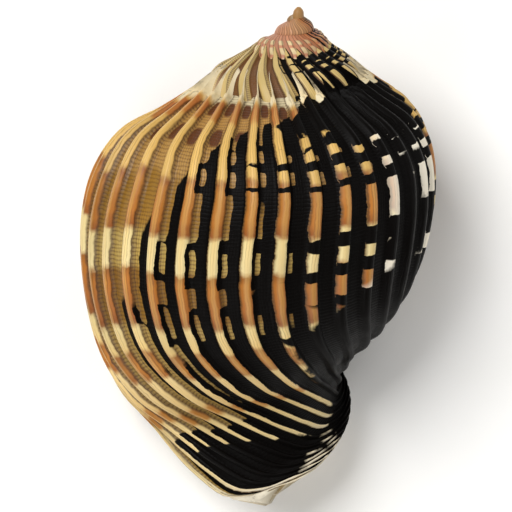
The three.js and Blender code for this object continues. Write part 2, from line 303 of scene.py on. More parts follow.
class Shell:
    """The shell's surfaces for one set of the panel's sizes."""

    def __init__(self, sizes):
        self.rib = sizes.rib_height / MM
        self.spine = sizes.spine_height / MM
        self.wall = sizes.wall / MM

    def rib_height(self, row):
        """A rib's height at full size: a spine at the seam, full on the body, low on the siphon band."""
        spine = (self.spine - self.rib) * (1 - smooth((row - 0.5) / 1.5))
        to_band = smooth((row - 8) / 3)
        return (self.rib + spine) * (1 - 0.65 * to_band) * (1 - smooth((row - 14.5) / 1.5))

    def outer(self, turn, row):
        """The outer surface: the plain coil, raised along its normal by the rib's rise times its height.

        A crest also leans a little to the older side. The surface is let in by a hair, so that the smooth
        curves stay inside the flat-faced solid's box.
        """
        normal, older = coil_frame(turn, row)
        rise = rib_rise(turn, row) * rib_shows(turn, row)
        size = growth(turn)
        height = ((rise * self.rib_height(row) - LET_IN) * size)[..., None]
        spacing = WIDEST_RADIUS * math.tau / RIBS_PER_WHORL
        lean = (RIB_LEAN * spacing * rise * size)[..., None]
        return coil_point(turn, row) + normal * height + older * lean, rise

    def thickness(self, turn, row):
        """The wall's thickness: part of it grows with the coil; the lip is thicker and the seam thinner."""
        at_lip = smooth(1 + turn / LIP_THICKENS)
        at_seam = 1 - SEAM_THINNING * (1 - smooth(row / 2))
        grown = WALL_KEPT + (1 - WALL_KEPT) * growth(turn)
        return (self.wall + (LIP_WALL - self.wall) * at_lip) * at_seam * grown

    def inner(self, turn, row):
        """The inner surface: the plain coil less the wall's thickness, near the axis in the solid whorls."""
        normal, _ = coil_frame(turn, row)
        plain = coil_point(turn, row)
        hollow = plain - normal * self.thickness(turn, row)[..., None]
        radius = np.hypot(plain[..., 0], plain[..., 2])
        share = np.minimum(1, CORE_RADIUS / radius)
        core = plain * np.stack([share, np.ones_like(share), share], axis=-1)
        filled = smooth((FILLED_TURN - turn) / 30)[..., None]
        return hollow * (1 - filled) + core * filled


def spiral_columns(start, end, per_rib):
    """Growth angles from one to another, evenly spaced within each rib."""
    first, last = rib_count(np.array([start, end]))
    counts = np.linspace(first, last, int(round((last - first) * per_rib)) + 1)
    return np.interp(counts, np.arange(len(RIB_TURNS)), RIB_TURNS)


def spaced_rows(end, count):
    """Rows from the seam to an end row, evenly spaced on the growth line but closer near the seam."""
    fine = np.linspace(0, end, 800)
    weight = 1 + 1.2 * (1 - smooth(fine / 3.0))
    steps = np.diff(line_length(fine)) * (weight[1:] + weight[:-1]) / 2
    travelled = np.concatenate([[0], np.cumsum(steps)])
    return np.interp(np.linspace(0, travelled[-1], count + 1), travelled, fine)


class Band:
    """A closed band of shell: rings of outer and inner points, one ring for each growth angle."""

    def __init__(self, shell, turns, rows, rolled_lip):
        self.rows = rows
        self.inner_rows = rows[::INNER_STEP]
        turn, row = np.meshgrid(turns, rows, indexing="ij")
        inner_turn, inner_row = np.meshgrid(turns, self.inner_rows, indexing="ij")
        outer, rise = shell.outer(turn, row)
        inner = shell.inner(inner_turn, inner_row)
        sheets = [
            [outer, turn, row, rise, np.zeros_like(rise)],
            [inner, inner_turn, inner_row, np.zeros_like(inner_row), np.ones_like(inner_row)],
        ]
        if rolled_lip:
            sheets = self.with_lip(sheets)
        # One ring runs down the outer rows and back up the inner ones.
        joined = [np.concatenate([a, b[:, ::-1]], axis=1) for a, b in zip(*sheets)]
        self.rings, self.ring_size = joined[0].shape[:2]
        self.points = joined[0].reshape(-1, 3)
        self.turn, self.row, self.rise, self.inside = (a.reshape(-1) for a in joined[1:])

    @staticmethod
    def with_lip(sheets):
        """Adds rings that roll both faces over at the lip, each through LIP_ROLL degrees of a quarter circle.

        The circle's middle is in the middle of the wall, and its radius is half the wall.
        """
        outer, inner = sheets[0][0][0], sheets[1][0][0]
        middle_inner = (outer[::INNER_STEP] + inner) / 2
        rows_outer, rows_inner = sheets[0][2][0], sheets[1][2][0]
        middle_outer = np.column_stack([np.interp(rows_outer, rows_inner, axis) for axis in middle_inner.T])
        half = np.linalg.norm(outer[::INNER_STEP] - inner, axis=-1) / 2
        _, older = coil_frame(np.zeros_like(rows_outer), rows_outer)
        reach = older * np.interp(rows_outer, rows_inner, half)[:, None]
        angles = np.radians(np.linspace(0, LIP_ROLL, LIP_RINGS + 1))[:0:-1]
        made = []
        for sheet, middle, step in ((sheets[0], middle_outer, 1), (sheets[1], middle_inner, INNER_STEP)):
            edge = sheet[0][0]
            # The roll starts this much behind the lip, so that its front stays at the lip.
            back = reach[::step]
            rolled = [middle + (edge - middle) * math.cos(a) + back * (1 - math.sin(a)) for a in angles]
            shifted = sheet[0].copy()
            shifted[0] = edge + back
            made.append(
                [np.concatenate([np.array(rolled), shifted])]
                + [np.concatenate([np.repeat(a[:1], len(angles), axis=0), a]) for a in sheet[1:]]
            )
        return made

    def faces(self):
        """Quads between the rings, and at both ends one face for each step of the inner rows."""
        ring = np.arange(self.ring_size)
        after = np.roll(ring, -1)
        start = np.arange(self.rings - 1)[:, None] * self.ring_size
        following = start + self.ring_size
        quads = np.stack([start + ring, start + after, following + after, following + ring], axis=-1)
        faces = quads.reshape(-1, 4).tolist()
        outer_count, inner_count = len(self.rows), len(self.inner_rows)
        end = (self.rings - 1) * self.ring_size
        for j in range(inner_count - 1):
            outer = list(range(j * INNER_STEP, (j + 1) * INNER_STEP + 1))
            inner = [outer_count + inner_count - 1 - j, outer_count + inner_count - 2 - j]
            loop = outer + [inner[1], inner[0]]
            faces.append(loop[::-1])
            faces.append([end + k for k in loop])
        return faces


def pillar_surface(sides=24, rings=64):
    """The pillar: circles of the profile's radius, whose centres drift to one side lower down.

    The profile is the Catmull-Rom curve through its points.
    """
    u = np.linspace(0, len(PILLAR) - 1, rings)
    piece = np.clip(np.floor(u).astype(int), 0, len(PILLAR) - 2)
    w = (u - piece)[:, None]
    ends = np.vstack([PILLAR[0], PILLAR, PILLAR[-1]])
    p0, p1, p2, p3 = (ends[piece + k] for k in range(4))
    profile = between(p1, p2, (p2 - p0) / 2, (p3 - p1) / 2, w)
    radius, depth = profile[:, :1], profile[:, 1:]
    drift = PILLAR_DRIFT * smooth((depth - PILLAR_STRAIGHT_TO) / (PILLAR_END - PILLAR_STRAIGHT_TO))
    angle = np.arange(sides)[None] * math.tau / sides
    side = math.radians(PILLAR_BEARING)
    circles = np.stack(
        [
            drift * math.sin(side) + radius * np.sin(angle),
            -depth + 0 * angle,
            drift * math.cos(side) + radius * np.cos(angle),
        ],
        axis=-1,
    )
    # Both ends close in a low cone.
    poles = circles[[0, -1]].mean(axis=1) + [[0, 0.05, 0], [0, -0.3, 0]]
    ring = np.arange(sides)
    after = np.roll(ring, -1)
    start = np.arange(rings - 1)[:, None] * sides
    quads = np.stack([start + ring, start + sides + ring, start + sides + after, start + after], axis=-1)
    top, bottom = rings * sides, rings * sides + 1
    last = (rings - 1) * sides
    caps = np.column_stack([ring, after, np.full(sides, top)])
    feet = np.column_stack([last + after, last + ring, np.full(sides, bottom)])
    faces = quads.reshape(-1, 4).tolist() + caps.tolist() + feet.tolist()
    return np.vstack([circles.reshape(-1, 3), poles]), faces


def lay_down(points):
    """Rolls the shell about its own axis, lifts its apex, moves it and turns millimetres to metres."""
    roll = Matrix.Rotation(math.radians(REST_ROLL), 3, "Y")
    lift = Matrix.Rotation(math.radians(REST_PITCH), 3, "X")
    return (points @ np.array(lift @ roll).T + REST_SHIFT) * MM


def linear(hex_colour):
    """The linear value of an sRGB hex colour, as (r, g, b, 1)."""
    channels = [int(hex_colour[i : i + 2], 16) / 255 for i in (1, 3, 5)]
    return tuple(c / 12.92 if c <= 0.04045 else ((c + 0.055) / 1.055) ** 2.4 for c in channels) + (1.0,)


def length_property(name, description, default, low, high):
    """A length, with its default and its two ends in millimetres."""
    return FloatProperty(
        name=name,
        description=description,
        default=default * MM,
        min=low * MM,
        max=high * MM,
        precision=4,
        unit="LENGTH",
        subtype="DISTANCE",
    )


class ShellSizes(bpy.types.PropertyGroup):
    """The lengths of the shell that can be changed without leaving the solid model's box."""

    rib_height: length_property(
        "Rib Height", "How far a rib stands above the gap beside it, on the newest whorl", 1.5, 0.2, 1.5
    )
    spine_height: length_property(
        "Spine Height", "How far a rib's point stands up at the seam", 2.4, 0.2, 2.4
    )
    wall: length_property("Wall", "Thickness of the shell's wall on the newest whorl", 1.7, 0.8, 2.2)
    columns: IntProperty(
        name="Columns per Rib",
        description="Steps of the surface in one rib and its gap, on the newest whorls",
        default=COLUMNS_PER_RIB,
        min=6,
        max=13,
    )


def colour_property(name, description, hex_colour):
    return FloatVectorProperty(
        name=name,
        description=description,
        default=linear(hex_colour)[:3],
        min=0.0,
        max=1.0,
        size=3,
        subtype="COLOR",
    )


class ShellColours(bpy.types.PropertyGroup):
    """The colours that repeat over the whole shell."""

    rib: colour_property("Rib", "Tan of the ribs between the blocks", "#D5AC5E")
    block: colour_property("Block", "Orange brown of the blocks on the ribs", "#AF6C26")
    cream: colour_property("Cream", "Pale cream between the blocks", "#E4D098")
    gap: colour_property("Gap", "Brown of the gaps between the ribs", "#A67D3C")
    dark: colour_property("Dark Spots", "Dark brown of the oval spots in the gaps", "#5C2F0E")
    # The near black of the painted shade: its stripes, frames and bands over the right side and base.
    black: colour_property("Black Marks", "Near black of the bands and window frames", "#070504")
    porcelain: colour_property("Inside", "Pale cream of the inside", "#EFE2C8")


def as_rgba(colour):
    return (*colour, 1.0)


def add(tree, kind, links=None, stops=None, **settings):
    """Adds a node with its settings, colour stops and inputs.

    Each input is a value, or the node or socket that feeds it.
    """
    made = tree.nodes.new(kind)
    for name, value in settings.items():
        setattr(made, name, value)
    if stops:
        ramp = made.color_ramp
        while len(ramp.elements) < len(stops):
            ramp.elements.new(1.0)
        for element, (place, colour) in zip(ramp.elements, stops):
            element.position = place
        for element, (place, colour) in zip(ramp.elements, stops):
            element.color = linear(colour) if isinstance(colour, str) else (*colour, 1.0)
    for key, value in (links or {}).items():
        if isinstance(value, bpy.types.Node):
            value = value.outputs[0]
        if isinstance(value, bpy.types.NodeSocket):
            tree.links.new(value, made.inputs[key])
        else:
            made.inputs[key].default_value = value
    return made


def rib_stops(colours):
    """Paint down the ribs, by millimetres from the seam.

    They are tan, with orange brown blocks that have darker ends, and cream between the blocks.
    """
    return [
        (0.0, "#EFE6CC"),
        (8.5, "#EADCB6"),
        (9.8, "#C89B50"),
        (10.6, "#A9622A"),
        (14.8, "#B0702F"),
        (16.0, "#D1A85A"),
        (28.0, colours.rib),
        (29.0, "#8C5222"),
        (31.0, "#AE702A"),
        (37.0, colours.block),
        (39.5, "#8E5020"),
        (40.5, "#E3CD90"),
        (47.0, colours.cream),
        (48.0, "#92581F"),
        (50.0, colours.block),
        (56.0, "#A3622A"),
        (58.5, "#864A1C"),
        (59.5, "#E1CB90"),
        (64.0, "#DFBF7C"),
        (65.0, "#9C6430"),
        (68.0, "#B27430"),
        (70.5, "#9A5E28"),
        (71.5, "#E1C58A"),
        (80.0, "#DEBC7A"),
        (81.0, "#B1732C"),
        (84.0, "#B57B32"),
        (85.0, "#DDC182"),
        (98.0, "#E5D19C"),
        (108.0, "#F0E6CE"),
        (150.0, "#F0E6CE"),
    ]


def gap_stops(colours):
    """Paint down the gaps, by millimetres from the seam: brown, darker beside blocks and pale at the seam."""
    return [
        (0.0, "#E2D8BC"),
        (8.5, "#D8CAA4"),
        (10.0, "#BA8C4A"),
        (20.0, colours.gap),
        (27.5, "#A88042"),
        (29.0, "#906820"),
        (39.0, "#966E28"),
        (41.0, "#B49852"),
        (47.0, "#B0924A"),
        (48.5, "#80591A"),
        (58.0, "#8C6622"),
        (60.0, "#AD8F4A"),
        (80.0, "#AA8A42"),
        (150.0, "#C6AC6A"),
    ]


# The painted shade that it takes to turn a place black, as (millimetres from the seam, (frame, window,
# crest)). A row of openings is where the levels of window and crest are high. The black between two rows is
# where they are low.
BLACK_STOPS = [
    (0.0, (0.70, 0.55, 0.99)),
    (7.6, (0.45, 0.40, 0.97)),
    (8.2, (0.16, 0.14, 0.46)),
    (9.8, (0.16, 0.14, 0.46)),
    (10.25, (0.16, 1.06, 1.20)),
    (10.9, (0.16, 0.14, 0.44)),
    (11.8, (0.16, 1.06, 1.20)),
    (13.0, (0.16, 0.14, 0.42)),
    (13.8, (0.16, 0.14, 0.42)),
    (14.6, (0.16, 1.06, 1.12)),
    (16.6, (0.16, 0.94, 1.06)),
    (17.6, (0.16, 0.14, 0.44)),
    (18.4, (0.16, 0.14, 0.44)),
    (19.0, (0.40, 0.48, 1.13)),
    (27.6, (0.40, 0.50, 1.13)),
    (28.4, (0.20, 0.20, 0.60)),
    (30.2, (0.10, 0.10, 0.60)),
    (30.8, (0.10, 0.64, 0.64)),
    (32.6, (0.10, 0.64, 1.00)),
    (34.4, (0.10, 0.64, 0.98)),
    (35.4, (0.10, 0.64, 0.60)),
    (36.0, (0.10, 0.10, 0.58)),
    (37.4, (0.10, 0.10, 0.58)),
    (38.2, (0.50, 0.50, 1.10)),
    (42.0, (0.50, 0.50, 1.10)),
    (42.8, (0.14, 0.14, 0.76)),
    (45.0, (0.14, 0.86, 0.92)),
    (49.4, (0.14, 0.92, 0.98)),
    (50.0, (0.14, 0.14, 0.86)),
    (52.6, (0.46, 0.54, 1.00)),
    (86.0, (0.38, 0.42, 0.88)),
    (92.0, (0.12, 0.14, 0.72)),
]
BAND_END = 150.0

# Paint of the older whorls by degrees back from the lip: yellowish bars, pale pinkish beads, smooth pinkish
# whorls and a tan apex.
OLD_PAINT_FROM = -326.0  # the growth angle from which the older paint comes in
OLD_PAINT_FULL = -366.0
OLD_RIB_STOPS = [
    (334, "#D2AA70"),
    (375, "#CDB474"),
    (640, "#CDAE6C"),
    (700, "#DCC494"),
    (980, "#DEC696"),
    (1060, "#D89874"),
    (1135, "#D89874"),
    (1240, "#CCA06E"),
    (1480, "#A57B48"),
]
OLD_GAP_STOPS = [
    (334, "#9A7440"),
    (375, "#6E4316"),
    (640, "#784E22"),
    (700, "#B4784E"),
    (820, "#CC8C6A"),
    (1135, "#CC8C68"),
    (1240, "#C29664"),
    (1480, "#A57B48"),
]
OLD_END = 110.0  # more than the count of ribs at the apex

# Across one rib and its gap, from just before the rib: (on the rib, spot in the gap, drawn edge).
PHASE_STOPS = [
    (0.000, (0.5, 0.0, 1.0)),
    (0.020, (1.0, 0.0, 0.5)),
    (0.060, (1.0, 0.0, 0.0)),
    (0.350, (1.0, 0.0, 0.0)),
    (0.390, (1.0, 0.0, 0.8)),
    (0.410, (0.4, 0.0, 1.0)),
    (0.440, (0.0, 0.2, 0.5)),
    (0.560, (0.0, 0.9, 0.1)),
    (0.680, (0.0, 1.0, 0.0)),
    (0.820, (0.0, 0.9, 0.0)),
    (0.930, (0.0, 0.2, 0.2)),
    (0.990, (0.0, 0.0, 1.0)),
    (1.000, (0.5, 0.0, 1.0)),
]
# The lighter core along the middle of each rib.
CORE_STOPS = [
    (0.08, (0.0,) * 3),
    (0.15, (0.30,) * 3),
    (0.24, (0.30,) * 3),
    (0.31, (0.0,) * 3),
]
# The same places by what the black marks are there: (frame, window, crest). What is left is the black
# stripe, a painted shadow along the gap beside each rib.
BLACK_PHASE_STOPS = [
    (0.000, (0.0, 0.0, 1.0)),
    (0.310, (0.0, 0.0, 1.0)),
    (0.335, (1.0, 0.0, 0.0)),
    (0.435, (1.0, 0.0, 0.0)),
    (0.460, (0.0, 1.0, 0.0)),
    (0.575, (0.0, 1.0, 0.0)),
    (0.660, (0.0, 0.0, 0.0)),
    (0.975, (0.0, 0.0, 0.0)),
    (0.995, (0.0, 0.0, 1.0)),
    (1.000, (0.0, 0.0, 1.0)),
]
# The painted rib shadow turns black wherever there is this much painted shade.
STRIPE_LEVEL = 0.05
# The painted shade's upper limit: bearing round the back, and the millimetres from the seam at which it
# starts there.
BLACK_START = np.array(
    [
        [-55, 46],
        [-48, 37],
        [-36, 28],
        [-23, 20],
        [-9, 16],
        [6, 13.5],
        [16, 9.5],
        [24, -6],
    ]
)
BAND_SLIDE = 12.5  # millimetres by which the black rows are lower on the right than at the left edge
# Dark spots along the gap in two rows above the shoulder, then none.
SPOT_STOPS = [
    (0.0, (0.0,) * 3),
    (7.5, (0.0,) * 3),
    (10.5, (1.0,) * 3),
    (13.5, (0.0,) * 3),
    (15.5, (0.0,) * 3),
    (19.0, (0.95,) * 3),
    (22.5, (0.0,) * 3),
    (150.0, (0.0,) * 3),
]


def scaled(stops, end):
    """Stops in their own unit, brought to 0..1."""
    return [(place / end, colour) for place, colour in stops]


def by_ribs(stops):
    """Stops in degrees back from the lip, turned into counts of ribs."""
    return scaled([(float(rib_count(-degrees)), colour) for degrees, colour in stops], OLD_END)


# The size of the noises' features in millimetres: fine wear, and cloudy paint.
GRAIN_SIZE = 3.03
CLOUD_SIZE = 11.1
# Real growth lines are about 0.1 mm apart; these are drawn further apart, so that they still show.
GROWTH_LINE_SPACING = 0.8
SCRATCHES_PER_RIB = 11
LINE_RELIEF = 0.18
SHELL_IOR = 1.5

MATH = "ShaderNodeMath"
VECTOR = "ShaderNodeVectorMath"
RAMP = "ShaderNodeValToRGB"
MIX = "ShaderNodeMixRGB"
NOISE = "ShaderNodeTexNoise"
SPLIT = "ShaderNodeSeparateXYZ"
RANGE = "ShaderNodeMapRange"
ATTRIBUTE = "ShaderNodeAttribute"


class CoilMaps:
    """What the shell's paint is worked out from: places on the coil, and the noises that rough them up.

    The coil map gives the count of ribs back from the lip, and the millimetres down the growth line.
    """

    def __init__(self, tree):
        place = add(tree, SPLIT, {0: add(tree, "ShaderNodeUVMap", uv_map="coil")})
        self.ribs = place.outputs["X"]
        self.length = place.outputs["Y"]
        where = add(tree, "ShaderNodeTexCoord").outputs["Object"]
        fine, broad = 1 / (GRAIN_SIZE * MM), 1 / (CLOUD_SIZE * MM)
        self.grain = add(tree, NOISE, {"Vector": where, "Scale": fine, "Detail": 3.0, "Roughness": 0.6})
        self.cloud = add(tree, NOISE, {"Vector": where, "Scale": broad, "Detail": 2.0, "Roughness": 0.5})
        wobble = add(tree, MATH, {0: self.grain, 1: 0.14, 2: -0.02}, operation="MULTIPLY_ADD")
        self.from_rib = add(tree, MATH, {0: self.ribs, 1: wobble}, operation="ADD")
        self.phase = add(tree, MATH, {0: self.from_rib}, operation="FRACT")
        rib_number = add(tree, MATH, {0: self.from_rib}, operation="FLOOR")
        self.chance = add(tree, "ShaderNodeTexWhiteNoise", {"W": rib_number}, noise_dimensions="1D")
        # How much painted shade a place holds.
        self.painted_shade = add(tree, ATTRIBUTE, attribute_name="black").outputs["Fac"]

        # Each rib's blocks sit a little higher or lower than the next one's, and their ends are a bit rough.
        self.shift = add(tree, MATH, {0: self.chance, 1: 2.6, 2: -1.3}, operation="MULTIPLY_ADD")
        fray = add(tree, MATH, {0: self.grain, 1: 3.0, 2: -1.5}, operation="MULTIPLY_ADD")
        shifted = add(tree, MATH, {0: self.length, 1: self.shift}, operation="ADD")
        frayed = add(tree, MATH, {0: shifted, 1: fray}, operation="ADD")
        self.paint_share = add(tree, MATH, {0: frayed, 1: BAND_END}, operation="DIVIDE")

        # The black marks do so less, and their rows slide down towards the right.
        band = add(tree, ATTRIBUTE, attribute_name="band").outputs["Fac"]
        marks_shifted = add(tree, MATH, {0: self.shift, 1: 0.4, 2: band}, operation="MULTIPLY_ADD")
        marks_frayed = add(tree, MATH, {0: fray, 1: 0.5, 2: marks_shifted}, operation="MULTIPLY_ADD")
        self.marks_share = add(tree, MATH, {0: marks_frayed, 1: BAND_END}, operation="DIVIDE")


def dark_spots(tree, maps, across):
    """How much of a dark oval spot a place in a gap holds; there are none where the black starts."""
    place = add(tree, MATH, {0: maps.shift, 1: 0.8, 2: maps.length}, operation="MULTIPLY_ADD")
    share = add(tree, MATH, {0: place, 1: BAND_END}, operation="DIVIDE")
    along = add(tree, RAMP, {0: share}, stops=scaled(SPOT_STOPS, BAND_END))
    off_black = add(tree, RANGE, {0: maps.painted_shade, 1: 0.1, 2: 0.35, 3: 1.0, 4: 0.0})
    strength = add(tree, MATH, {0: along, 1: off_black}, operation="MULTIPLY")
    spot = add(tree, MATH, {0: across, 1: strength}, operation="MULTIPLY")
    return add(tree, RANGE, {0: spot, 1: 0.14, 2: 0.42}, interpolation_type="SMOOTHSTEP")


def newest_paint(tree, maps, colours):
    """Paint of the newest whorl: blocks down the ribs, and spots in the gaps.

    It gives the paint, how far a place is on a rib, and how far it is on a rib's drawn edge.
    """
    rib_paint = add(tree, RAMP, {0: maps.paint_share}, stops=scaled(rib_stops(colours), BAND_END))
    gap_paint = add(tree, RAMP, {0: maps.paint_share}, stops=scaled(gap_stops(colours), BAND_END))
    across = add(tree, SPLIT, {0: add(tree, RAMP, {0: maps.phase}, stops=PHASE_STOPS)})
    on_rib, spot_across, edge = (across.outputs[k] for k in range(3))
    spots = dark_spots(tree, maps, spot_across)
    spotted = add(tree, MIX, {0: spots, 1: gap_paint, 2: as_rgba(colours.dark)})
    core = add(tree, RAMP, {0: maps.phase}, stops=CORE_STOPS)
    cored = add(tree, MIX, {0: core, 1: rib_paint, 2: linear("#D8B064")})
    return add(tree, MIX, {0: on_rib, 1: spotted, 2: cored}), on_rib, edge


def whorls_paint(tree, maps, newest):
    """The newest whorl's paint, with paint of their own and an orange flush on the older whorls.

    It gives the paint, and how far a place is on the older whorls.
    """
    share = add(tree, MATH, {0: maps.from_rib, 1: OLD_END}, operation="DIVIDE")
    old_rib = add(tree, RAMP, {0: share}, stops=by_ribs(OLD_RIB_STOPS))
    old_gap = add(tree, RAMP, {0: share}, stops=by_ribs(OLD_GAP_STOPS))
    rise = add(tree, ATTRIBUTE, attribute_name="rise").outputs["Fac"]
    on_old_rib = add(tree, RANGE, {0: rise, 1: 0.3, 2: 0.62}, interpolation_type="SMOOTHSTEP")
    old_paint = add(tree, MIX, {0: on_old_rib, 1: old_gap, 2: old_rib})
    first, last = float(rib_count(OLD_PAINT_FROM)), float(rib_count(OLD_PAINT_FULL))
    is_old = add(tree, RANGE, {0: maps.from_rib, 1: first, 2: last})
    paint = add(tree, MIX, {0: is_old, 1: newest, 2: old_paint})
    flush = add(tree, ATTRIBUTE, attribute_name="flush").outputs["Fac"]
    return add(tree, MIX, {0: flush, 1: paint, 2: linear("#B4652A")}), is_old


def drawn_lines(tree, maps, on_rib):
    """Growth lines: fine dark strokes across the gaps, and finer scratches that run with the ribs."""
    stroke_place = add(tree, MATH, {0: maps.grain, 1: 1.2, 2: maps.length}, operation="MULTIPLY_ADD")
    stroke_angle = add(tree, MATH, {0: stroke_place, 1: math.tau / GROWTH_LINE_SPACING}, operation="MULTIPLY")
    stroke_wave = add(tree, MATH, {0: stroke_angle}, operation="SINE")
    stroke = add(tree, RANGE, {0: stroke_wave, 1: -0.2, 2: 0.9, 3: 0.0, 4: 0.34})
    off_rib = add(tree, MATH, {0: 1.0, 1: on_rib}, operation="SUBTRACT")
    gap_stroke = add(tree, MATH, {0: stroke, 1: off_rib}, operation="MULTIPLY")
    scratch_angle = add(tree, MATH, {0: maps.from_rib, 1: math.tau * SCRATCHES_PER_RIB}, operation="MULTIPLY")
    scratch_wave = add(tree, MATH, {0: scratch_angle}, operation="SINE")
    scratch_depth = add(tree, RANGE, {0: maps.cloud, 1: 0.40, 2: 0.6, 3: 0.04, 4: 0.40})
    scratch = add(tree, RANGE, {0: scratch_wave, 1: 0.45, 2: 1.0, 3: 0.0, 4: scratch_depth})
    return add(tree, MATH, {0: gap_stroke, 1: scratch}, operation="ADD")


def toned_paint(tree, maps, paint, lines, edge):
    """The paint with its lines and the ribs' drawn edges, cloudy, and a little different from rib to rib."""
    edge_line = add(tree, MATH, {0: edge, 1: 0.72}, operation="MULTIPLY")
    all_lines = add(tree, MATH, {0: lines, 1: edge_line}, operation="ADD")
    lined = add(tree, MIX, {0: all_lines, 1: paint, 2: linear("#4A2E12")})
    rib_tone = add(tree, RANGE, {0: maps.chance, 3: 0.90, 4: 1.06})
    cloud_tone = add(tree, RANGE, {0: maps.cloud, 1: 0.3, 2: 0.7, 3: 0.86, 4: 1.10})
    tone = add(tree, MATH, {0: rib_tone, 1: cloud_tone}, operation="MULTIPLY")
    return add(tree, VECTOR, {0: lined, 3: tone}, operation="SCALE")


def shade_marks(tree, maps):
    """Painted shade as black stripes, frames and bands, where the shade passes its kind's and row's level."""
    levels = add(tree, RAMP, {0: maps.marks_share}, stops=scaled(BLACK_STOPS, BAND_END))
    kinds = add(tree, RAMP, {0: maps.phase}, stops=BLACK_PHASE_STOPS)
    level = add(tree, VECTOR, {0: levels, 1: kinds}, operation="DOT_PRODUCT").outputs["Value"]
    other = add(tree, VECTOR, {0: kinds, 1: (1.0, 1.0, 1.0)}, operation="DOT_PRODUCT").outputs["Value"]
    is_stripe = add(tree, MATH, {0: 1.0, 1: other}, operation="SUBTRACT", use_clamp=True)
    full_level = add(tree, MATH, {0: is_stripe, 1: STRIPE_LEVEL, 2: level}, operation="MULTIPLY_ADD")
    # Both noises make the marks' edges rough, and they fade out where there is no painted shade.
    fine_edge = add(tree, MATH, {0: maps.grain, 1: 0.12, 2: -0.26}, operation="MULTIPLY_ADD")
    rough_edge = add(tree, MATH, {0: maps.cloud, 1: 0.40, 2: fine_edge}, operation="MULTIPLY_ADD")
    near_shade = add(tree, RANGE, {0: maps.painted_shade, 1: 0.0, 2: 0.2})
    rough_shade = add(tree, MATH, {0: rough_edge, 1: near_shade, 2: maps.painted_shade}, operation="MULTIPLY_ADD")
    over = add(tree, MATH, {0: rough_shade, 1: full_level}, operation="SUBTRACT")
    return add(tree, RANGE, {0: over, 1: -0.015, 2: 0.015})


def glazed_paint(tree, maps, paint, glaze):
    """The paint with the opening's glaze over it: cream with a chestnut blotch."""
    blotch = add(tree, ATTRIBUTE, attribute_name="blotch").outputs["Fac"]
    blotch_edge = add(tree, MATH, {0: maps.cloud, 1: 0.5, 2: blotch}, operation="MULTIPLY_ADD")
    share = add(tree, RANGE, {0: blotch_edge, 1: 0.62, 2: 0.82}, interpolation_type="SMOOTHSTEP")
    callus = add(tree, MIX, {0: share, 1: linear("#E2C8A0"), 2: linear("#5E2A14")})
    return add(tree, MIX, {0: glaze, 1: paint, 2: callus})


def shell_material(colours):
    """Glazed shell lime, as it grew: painted and satin outside, with fine growth lines in low relief.

    The inside and the glaze round the opening are smooth and glossy like porcelain, and the outside's paint
    shows through a little inside the lip. The black marks of painted shade shine less than the rest.
    """
    material = bpy.data.materials.new("glazed_shell_lime")
    material.use_nodes = True
    tree = material.node_tree
    tree.nodes.clear()
    maps = CoilMaps(tree)
    newest, on_rib, edge = newest_paint(tree, maps, colours)
    paint, is_old = whorls_paint(tree, maps, newest)
    lines = drawn_lines(tree, maps, on_rib)
    toned = toned_paint(tree, maps, paint, lines, edge)

    # On the far right, where the painted shade is deepest, the openings in the black are bare pale shell.
    far_right = add(tree, RANGE, {0: maps.painted_shade, 1: 1.0, 2: 1.06})
    pale = add(tree, MATH, {0: far_right, 1: is_old}, operation="SUBTRACT", use_clamp=True)
    bared = add(tree, MIX, {0: pale, 1: toned, 2: linear("#EFE6D2")})
    # The painted shade, drawn as black stripes, frames and bands.
    black = shade_marks(tree, maps)
    marked = add(tree, MIX, {0: black, 1: bared, 2: as_rgba(colours.black)})

    glaze = add(tree, ATTRIBUTE, attribute_name="glaze").outputs["Fac"]
    outside = glazed_paint(tree, maps, marked, glaze)
    inside = add(tree, ATTRIBUTE, attribute_name="inside").outputs["Fac"]
    paint_in = add(tree, RANGE, {0: maps.ribs, 1: 0.0, 2: 3.0, 3: 0.55, 4: 0.12})
    inner_paint = add(tree, MIX, {0: paint_in, 1: as_rgba(colours.porcelain), 2: newest})
    colour = add(tree, MIX, {0: inside, 1: outside, 2: inner_paint})

    glossy = add(tree, MATH, {0: glaze, 1: inside}, operation="MAXIMUM")
    satin = add(tree, RANGE, {0: maps.grain, 1: 0.3, 2: 0.7, 3: 0.40, 4: 0.54})
    roughness = add(tree, MATH, {0: glossy, 1: -0.2, 2: satin}, operation="MULTIPLY_ADD")
    not_glossy = add(tree, MATH, {0: 1.0, 1: glossy}, operation="SUBTRACT")
    height = add(tree, MATH, {0: lines, 1: -1.0, 2: maps.grain}, operation="MULTIPLY_ADD")
    relief = add(tree, MATH, {0: height, 1: not_glossy}, operation="MULTIPLY")
    bump = add(tree, "ShaderNodeBump", {"Strength": 0.5, "Distance": LINE_RELIEF * MM, "Height": relief})
    shine = add(tree, RANGE, {0: black, 3: 0.35, 4: 0.06})
    surface = add(
        tree,
        "ShaderNodeBsdfPrincipled",
        {
            "Base Color": colour,
            "Roughness": roughness,
            "Normal": bump,
            "IOR": SHELL_IOR,
            "Specular IOR Level": shine,
        },
    )
    add(tree, "ShaderNodeOutputMaterial", {"Surface": surface})
    return material


# How the painted shade comes up round the shell, in degrees of bearing: the right side and the base are
# painted dark as if in shadow.
SHADE_FROM = -56.0  # where it starts on the upper part of the newest whorl
SHADE_OVER = 92.0  # how far from there it has come to one
SHADE_MOST = 1.15
SHADE_FURTHER = 34.0  # how much further left it starts on the lower part
SIPHON_SHADE = 0.78
SHADE_FALL = 0.8  # share of the painted shade that is gone on the far side
FALL_FROM = 58.0
FALL_OVER = 70.0
OLD_SHADE_FROM = -6.0
OLD_SHADE_OVER = 40.0
OLDEST_SHADE_FROM = 50.0
OLD_FALL_FROM = 100.0
OLD_FALL_OVER = 50.0


